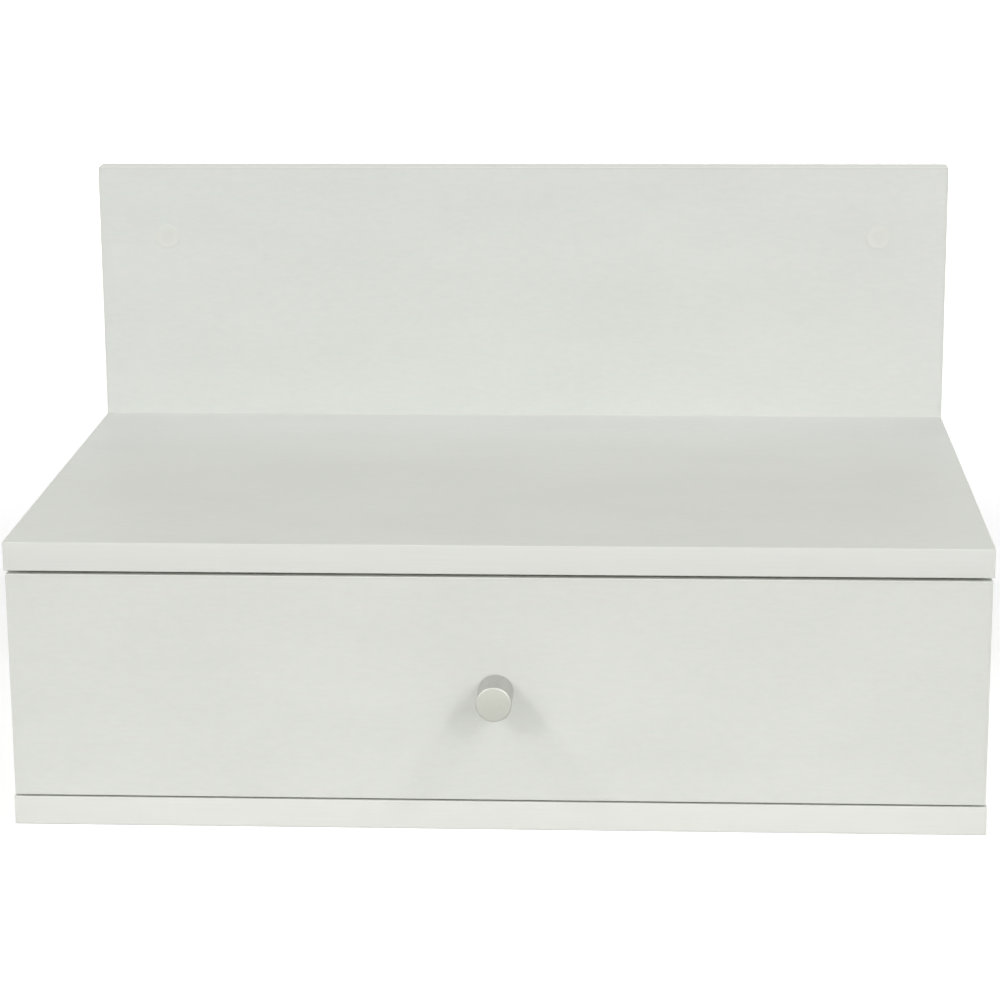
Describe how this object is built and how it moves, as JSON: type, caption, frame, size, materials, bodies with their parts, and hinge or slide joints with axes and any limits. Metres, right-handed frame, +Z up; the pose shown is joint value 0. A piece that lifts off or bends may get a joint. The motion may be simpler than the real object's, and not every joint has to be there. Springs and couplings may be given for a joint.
{
  "type": "floating nightstand",
  "caption": "Wall-hung white nightstand: a shelf box on a raised back panel, with a drawer on roller runners and a round metal knob.",
  "frame": {"origin": "on the wall plane (rear face of the back panel), at mid width, on the line of the two wall screws, 41.5 mm below the upper edge", "axes": "+Z up, +Y into the wall, +X to the right as seen from the front; the drawer opens along -Y"},
  "size_m": [0.5, 0.337, 0.3],
  "materials": {
    "white_board": "white melamine on particle board, satin, very faint horizontal emboss",
    "hardboard": "thin hardboard, white painted on its upper face",
    "satin_metal": "satin nickel",
    "cap_plastic": "off-white moulded plastic, satin",
    "runner_paint": "white powder coat on folded steel",
    "roller_nylon": "natural white nylon",
    "zinc": "bright zinc plate",
    "beech": "raw fluted beech"
  },
  "bodies": {
    "carcass": {"back_panel": "white_board", "back_screw_lower_left": "zinc", "back_screw_lower_middle": "zinc", "back_screw_lower_right": "zinc", "back_screw_upper_left": "zinc", "back_screw_upper_middle": "zinc", "back_screw_upper_right": "zinc", "bottom_panel": "white_board", "bottom_screw_left_front": "zinc", "bottom_screw_left_rear": "zinc", "bottom_screw_right_front": "zinc", "bottom_screw_right_rear": "zinc", "cam_bolt_left_front": "zinc", "cam_bolt_left_rear": "zinc", "cam_bolt_right_front": "zinc", "cam_bolt_right_rear": "zinc", "cam_left_front": "zinc", "cam_left_rear": "zinc", "cam_right_front": "zinc", "cam_right_rear": "zinc", "channel_runner_left": "runner_paint", "channel_runner_right": "runner_paint", "channel_screw_left_front": "zinc", "channel_screw_left_rear": "zinc", "channel_screw_right_front": "zinc", "channel_screw_right_rear": "zinc", "dowel_left_front": "beech", "dowel_left_rear": "beech", "dowel_right_front": "beech", "dowel_right_rear": "beech", "shelf_panel": "white_board", "side_panel_left": "white_board", "side_panel_right": "white_board", "wall_screw_cap_left": "cap_plastic", "wall_screw_cap_right": "cap_plastic"},
    "drawer": {"drawer_back": "white_board", "drawer_back_screw_left_lower": "zinc", "drawer_back_screw_left_upper": "zinc", "drawer_back_screw_right_lower": "zinc", "drawer_back_screw_right_upper": "zinc", "drawer_bottom": "hardboard", "drawer_cam_bolt_left": "zinc", "drawer_cam_bolt_right": "zinc", "drawer_cam_left": "zinc", "drawer_cam_right": "zinc", "drawer_front": "white_board", "drawer_runner_left": "runner_paint", "drawer_runner_right": "runner_paint", "drawer_runner_screw_left_front": "zinc", "drawer_runner_screw_left_rear": "zinc", "drawer_runner_screw_right_front": "zinc", "drawer_runner_screw_right_rear": "zinc", "drawer_side_left": "white_board", "drawer_side_right": "white_board", "knob": "satin_metal", "knob_screw": "zinc"},
    "front_roller_left": {"front_roller_left": "roller_nylon"},
    "front_roller_right": {"front_roller_right": "roller_nylon"},
    "rear_roller_left": {"rear_roller_left": "roller_nylon"},
    "rear_roller_right": {"rear_roller_right": "roller_nylon"}
  },
  "joints": [
    {"name": "drawer_slide", "type": "slide", "parent": "carcass", "child": "drawer", "axis": [0, -1, 0], "range_m": [0, 0.19]},
    {"name": "front_roller_left_turn", "type": "hinge", "parent": "carcass", "child": "front_roller_left", "pos_m": [-0.2285, -0.285, -0.2255], "axis": [1, 0, 0], "continuous": true},
    {"name": "front_roller_right_turn", "type": "hinge", "parent": "carcass", "child": "front_roller_right", "pos_m": [0.2285, -0.285, -0.2255], "axis": [1, 0, 0], "continuous": true},
    {"name": "rear_roller_left_turn", "type": "hinge", "parent": "drawer", "child": "rear_roller_left", "pos_m": [-0.2285, -0.062, -0.224], "axis": [1, 0, 0], "continuous": true},
    {"name": "rear_roller_right_turn", "type": "hinge", "parent": "drawer", "child": "rear_roller_right", "pos_m": [0.2285, -0.062, -0.224], "axis": [1, 0, 0], "continuous": true}
  ],
  "couplings": [
    {"joint": "front_roller_left_turn", "follows": "drawer_slide", "rad_per_m": 111.11},
    {"joint": "front_roller_right_turn", "follows": "drawer_slide", "rad_per_m": 111.11},
    {"joint": "rear_roller_left_turn", "follows": "drawer_slide", "rad_per_m": 111.11},
    {"joint": "rear_roller_right_turn", "follows": "drawer_slide", "rad_per_m": 111.11}
  ]
}
